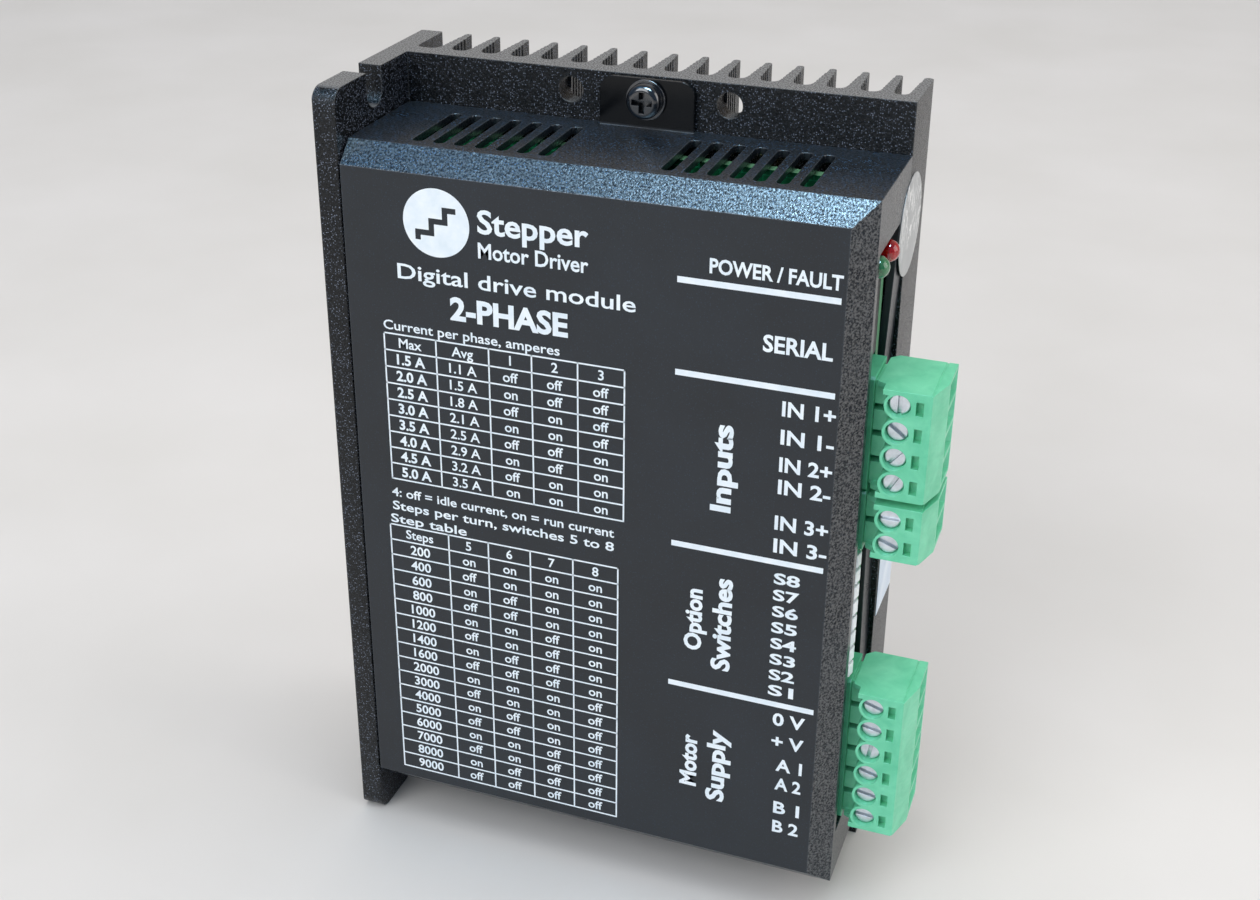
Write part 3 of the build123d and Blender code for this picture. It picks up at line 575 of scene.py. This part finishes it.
class Printer:
    """Collects lines, bars and characters on the front face and joins them into one thin mesh.

    Places and sizes are in millimetres: x from the wall's outer side, z from the base.
    """

    def __init__(self):
        self.bm = bmesh.new()
        probe = self.glyphs("H", 1.0, 0.0)
        heights = [v.co.y for v in probe.vertices]
        self.cap = max(heights) - min(heights)
        bpy.data.meshes.remove(probe)

    def glyphs(self, text, size, weight):
        """Characters as closed solids, the ink's half thickness either side of z = 0."""
        curve = bpy.data.curves.new("glyphs", "FONT")
        curve.body = text
        curve.size = size
        curve.offset = weight
        curve.extrude = INK_T
        curve.resolution_u = 3
        holder = bpy.data.objects.new("glyphs", curve)
        bpy.context.scene.collection.objects.link(holder)
        bpy.context.view_layer.update()
        graph = bpy.context.evaluated_depsgraph_get()
        mesh = bpy.data.meshes.new_from_object(holder.evaluated_get(graph))
        bpy.data.objects.remove(holder)
        bpy.data.curves.remove(curve)
        return mesh

    def add(self, mesh, matrix):
        """Moves a solid made flat in XY onto the front face and joins it to the print."""
        solid = bmesh.new()
        solid.from_mesh(mesh)
        bmesh.ops.remove_doubles(solid, verts=solid.verts, dist=1e-7)
        solid.transform(matrix)
        bmesh.ops.recalc_face_normals(solid, faces=solid.faces)
        solid.to_mesh(mesh)
        solid.free()
        self.bm.from_mesh(mesh)
        bpy.data.meshes.remove(mesh)

    def place(self, x, z, turn=0.0):
        """From flat XY in metres to a place on the front face."""
        stand = Matrix.Rotation(QUARTER, 4, "X")
        spin = Matrix.Rotation(turn, 4, "Z")
        return Matrix.Translation(((x + WALL_MM) * MM, FACE_Y, z * MM)) @ stand @ spin

    def text(self, text, x, z, cap, width=None, align="C", turn=0.0, bold=0.0):
        """Text with capitals of a given height; z is the middle of the capitals."""
        size = cap * MM / self.cap
        mesh = self.glyphs(text, size, bold * size)
        xs = [v.co.x for v in mesh.vertices]
        low, high = min(xs), max(xs)
        squeeze = width * MM / (high - low) if width else 1.0
        shift = {"L": -low, "C": -(low + high) / 2, "R": -high}[align]
        move = Matrix.Translation((shift, -cap * MM / 2, 0))
        self.add(mesh, self.place(x, z, turn) @ Matrix.Diagonal((squeeze, 1, 1, 1)) @ move)

    def bar(self, x0, z0, x1, z1):
        outline = [(x * MM, z * MM) for x, z in ((x0, z0), (x1, z0), (x1, z1), (x0, z1))]
        self.add(prism("bar", outline, -INK_T, INK_T), self.place(0.0, 0.0))

    def table(self, box, columns, rows, head_bold, first_bold):
        """A ruled table. Columns are shares of the width; the first row holds the headings."""
        x0, z0, x1, z1 = box
        edges = [x0 + (x1 - x0) * share for share in columns]
        pitch = (z0 - z1) / len(rows)
        for x in edges:
            self.bar(x - RULE / 2, z1 - RULE / 2, x + RULE / 2, z0 + RULE / 2)
        for index in range(len(rows) + 1):
            z = z0 - pitch * index
            self.bar(x0 - RULE / 2, z - RULE / 2, x1 + RULE / 2, z + RULE / 2)
        centres = [(a + b) / 2 for a, b in zip(edges, edges[1:])]
        for index, row in enumerate(rows):
            z = z0 - pitch * (index + 0.5)
            for place, (x, value) in enumerate(zip(centres, row)):
                if index == 0:
                    self.text(value, x, z, 1.4, bold=head_bold)
                elif place == 0:
                    self.text(value, x, z, 1.45, bold=first_bold)
                else:
                    self.text(value, x, z, 1.4, bold=0.014)

    def finish(self):
        mesh = bpy.data.meshes.new("front_print")
        self.bm.to_mesh(mesh)
        self.bm.free()
        new_object("front_print", mesh, "case", INK)


def pictogram(p):
    """A disc with a staircase cut through it."""
    steps = [(-3.1, -2.6), (-3.1, -1.1), (-1.1, -1.1), (-1.1, 0.6), (0.9, 0.6), (0.9, 2.3),
             (2.9, 2.3), (2.9, 1.5), (1.7, 1.5), (1.7, -0.2), (-0.3, -0.2), (-0.3, -1.9),
             (-2.3, -1.9), (-2.3, -2.6)]
    disc = prism("disc", circle_points(0.0, 0.0, 4.8 * MM, 64), -INK_T, INK_T)
    stair = prism("stair", [(a * MM, b * MM) for a, b in steps], -MM, MM)
    p.add(cut(disc, [stair]), p.place(17.45, 101.6))


def current_rows():
    rows = [("Max", "Avg", "1", "2", "3")]
    for row in range(8):
        bits = ["on" if (row >> bit) & 1 else "off" for bit in range(3)]
        rows.append((f"{1.5 + 0.5 * row:.1f} A", f"{1.1 + 0.35 * row:.1f} A", *bits))
    return rows


def step_rows():
    rows = [("Steps", "5", "6", "7", "8")]
    for row in range(16):
        bits = ["off" if (row >> bit) & 1 else "on" for bit in range(4)]
        count = 200 * (row + 1) if row < 8 else 1000 * (row - 6)
        rows.append((str(count), *bits))
    return rows


def build_print():
    p = Printer()
    pictogram(p)
    p.text("Stepper", 23.4, 102.6, 3.1, 15.5, "L", bold=0.022)
    p.text("Motor Driver", 23.4, 98.6, 2.1, 15.5, "L", bold=0.018)
    p.text("Digital drive module", 28.4, 94.1, 2.1, 34.0, bold=0.012)
    p.text("2-PHASE", 27.5, 89.7, 3.1, 17.0, bold=0.035)
    p.text("Current per phase, amperes", 8.8, 85.9, 1.35, 26.0, "L", bold=0.012)
    p.table((8.8, 84.6, 43.95, 61.8), (0, 0.223, 0.446, 0.624, 0.812, 1), current_rows(),
            0.014, 0.028)
    for line, x, z, width in (("4: off = idle current, on = run current", 8.6, 59.6, 34.0),
                              ("Steps per turn, switches 5 to 8", 8.6, 57.4, 34.0),
                              ("Step table", 8.2, 55.2, 12.0)):
        p.text(line, x, z, 1.35, width, "L", bold=0.014)
    p.table((8.0, 54.1, 43.2, 10.55), (0, 0.264, 0.441, 0.625, 0.809, 1), step_rows(),
            0.014, 0.018)
    # Divider bars between the groups of connections.
    for z in (98.5, 85.6, 59.95, 37.1):
        p.bar(50.9, z - 0.42, 72.0, z + 0.42)
    p.text("POWER / FAULT", 63.6, 100.9, 1.9, 17.0, bold=0.026)
    p.text("SERIAL", 66.9, 91.5, 2.2, 9.0, bold=0.026)
    for name, z, width in (("IN 1+", 82.75, 7.0), ("IN 1-", 78.7, 7.0), ("IN 2+", 74.7, 7.0),
                           ("IN 2-", 71.4, 7.0), ("IN 3+", 66.0, 7.2), ("IN 3-", 62.5, 7.2)):
        p.text(name, 72.3, z, 2.0, width, "R", bold=0.026)
    for i in range(8):
        p.text(f"S{8 - i}", 67.2, 57.45 - 2.577 * i, 1.6, 3.6, bold=0.026)
    for name, z, width in (("0 V", 34.65, 4.6), ("+ V", 30.9, 4.6), ("A 1", 26.9, 3.8),
                           ("A 2", 23.6, 3.8), ("B 1", 19.4, 3.8), ("B 2", 16.0, 3.8)):
        p.text(name, 70.9, z, 1.95, width, "R", bold=0.026)
    # Group names, reading upwards.
    for name, x, z, cap, width in (("Inputs", 57.6, 72.6, 2.6, 13.0),
                                   ("Option", 54.3, 48.3, 2.3, 10.0),
                                   ("Switches", 58.4, 48.3, 2.5, 15.0),
                                   ("Motor", 54.2, 24.2, 2.3, 9.0),
                                   ("Supply", 58.3, 24.2, 2.5, 12.5)):
        p.text(name, x, z, cap, width, turn=QUARTER, bold=0.036)
    p.finish()


# ---------------------------------------------------------------- dress the CAD nodes
# Width of the rounded edges in millimetres, and their segments.
SOFTEN = {
    "cover": (0.16, 3), "cover_screws": (0.06, 2), "cover_washers": (0.08, 2), "pcb": (0.05, 1),
    "pcb_screws": (0.06, 2), "power_transistors": (0.1, 2), "board_chips": (0.05, 1),
    "serial_port": (0.12, 2), "led_holder": (0.12, 2), "dip_switch_body": (0.08, 2),
    "header_pins": (0.05, 1),
}
# The same for nodes with one of these in their name, and for all the rest.
SOFTEN_KINDS = {"_header": (0.09, 2), "_plug": (0.09, 2), "lever": (0.08, 2),
                "_screw_": (0.04, 2), "_cage_": (0.04, 2)}
SOFTEN_REST = (0.04, 1)


def rounding(name):
    if name in SOFTEN:
        return SOFTEN[name]
    for kind, row in SOFTEN_KINDS.items():
        if kind in name:
            return row
    return SOFTEN_REST


def dress():
    for name, made in nodes.items():
        made.data.materials.clear()
        made.data.materials.append(MATERIALS[SLOTS[name]])
        if name != "heatsink":
            soften(made, *rounding(name))


# ---------------------------------------------------------------- stage, light and camera
FLOOR_HALF = 6.0
WORLD_FRONT = (0.11, 0.18, 0.28, 1.0)
WORLD_BACK = (0.44, 0.4, 0.365, 1.0)
BODY_AIM = (0.0, 0.0, 0.06)
BEVEL_AIM = (0.0, -0.02, 0.11)
# Name, place, aim, size, power in watts, colour, and the kind of ray it is hidden from. The two
# skies show only as a reflection, brighter to the right; the top light never shows as one.
LIGHTS = (
    ("sky", (0.13, -0.275, 0.83), BEVEL_AIM, (0.44, 0.3), 14.0, (0.47, 0.76, 1.0), "diffuse"),
    ("sky_edge", (-0.36, -0.26, 0.75), BEVEL_AIM, (0.4, 0.32), 0.5, (0.1, 0.5, 1.0), "diffuse"),
    ("front", (-0.35, -1.0, 0.75), BODY_AIM, (0.9, 0.9), 10.0, (0.97, 0.985, 1.0), None),
    ("top", (0.1, 0.05, 1.5), BODY_AIM, (2.2, 1.8), 22.0, (1.0, 0.985, 0.96), "glossy"),
    ("right", (1.0, 0.1, 0.45), BODY_AIM, (0.8, 0.8), 4.8, (1.0, 0.97, 0.94), None),
)
CAMERA_PLACE = (0.07234, -0.21378, 0.17949)
CAMERA_AZIMUTH = math.radians(20.65)
CAMERA_ELEVATION = math.radians(25.92)


def build_floor():
    mesh = bpy.data.meshes.new("floor")
    half = FLOOR_HALF
    corners = [(-half, -half, 0), (half, -half, 0), (half, half, 0), (-half, half, 0)]
    mesh.from_pydata(corners, [], [(0, 1, 2, 3)])
    floor = bpy.data.objects.new("floor", mesh)
    bpy.context.scene.collection.objects.link(floor)
    s = Shader("floor_pale")
    cloud = s.noise(60.0, 3.0, 0.5)
    s.set(Base_Color=s.mix(s.ramp(cloud, 0.3, 0.7), rgb("d0ccc7"), rgb("d6d2ce")), Roughness=0.6)
    mesh.materials.append(s.material)


def build_world():
    """Cool light from the front and above, and a warmer, brighter room behind the object."""
    world = bpy.data.worlds.new("studio")
    bpy.context.scene.world = world
    world.use_nodes = True
    tree = world.node_tree
    axes = tree.nodes.new("ShaderNodeSeparateXYZ")
    tree.links.new(tree.nodes.new("ShaderNodeTexCoord").outputs["Generated"], axes.inputs[0])
    share = tree.nodes.new("ShaderNodeMapRange")
    share.inputs["From Min"].default_value = -0.1
    share.inputs["From Max"].default_value = 0.7
    tree.links.new(axes.outputs["Y"], share.inputs["Value"])
    mix = tree.nodes.new("ShaderNodeMix")
    mix.data_type = "RGBA"
    tree.links.new(share.outputs[0], mix.inputs[0])
    mix.inputs[6].default_value = WORLD_FRONT
    mix.inputs[7].default_value = WORLD_BACK
    tree.links.new(mix.outputs[2], tree.nodes["Background"].inputs["Color"])


def build_lights():
    for name, place, aim, size, power, colour, hidden_from in LIGHTS:
        data = bpy.data.lights.new(name, "AREA")
        data.shape = "RECTANGLE"
        data.size, data.size_y = size
        data.energy = power
        data.color = colour
        made = bpy.data.objects.new(name, data)
        bpy.context.scene.collection.objects.link(made)
        direction = Vector(aim) - Vector(place)
        made.rotation_euler = direction.to_track_quat("-Z", "Y").to_euler()
        made.location = place
        if hidden_from == "diffuse":
            made.visible_diffuse = False
        elif hidden_from == "glossy":
            made.visible_glossy = False


def build_camera():
    data = bpy.data.cameras.new("camera")
    data.sensor_width = 36.0
    data.lens = 48.77
    data.shift_x = 0.0272
    data.shift_y = -0.0442
    data.clip_start = 0.01
    made = bpy.data.objects.new("camera", data)
    bpy.context.scene.collection.objects.link(made)
    level = math.cos(CAMERA_ELEVATION)
    back = Vector((math.sin(CAMERA_AZIMUTH) * level, -math.cos(CAMERA_AZIMUTH) * level,
                   math.sin(CAMERA_ELEVATION)))
    right = Vector((math.cos(CAMERA_AZIMUTH), math.sin(CAMERA_AZIMUTH), 0.0))
    turn = Matrix((right, back.cross(right), back)).transposed().to_4x4()
    made.matrix_world = Matrix.Translation(CAMERA_PLACE) @ turn
    bpy.context.scene.camera = made


dress()
build_sink()
build_print()
build_floor()
build_world()
build_lights()
build_camera()
bpy.context.scene.view_settings.view_transform = "Standard"
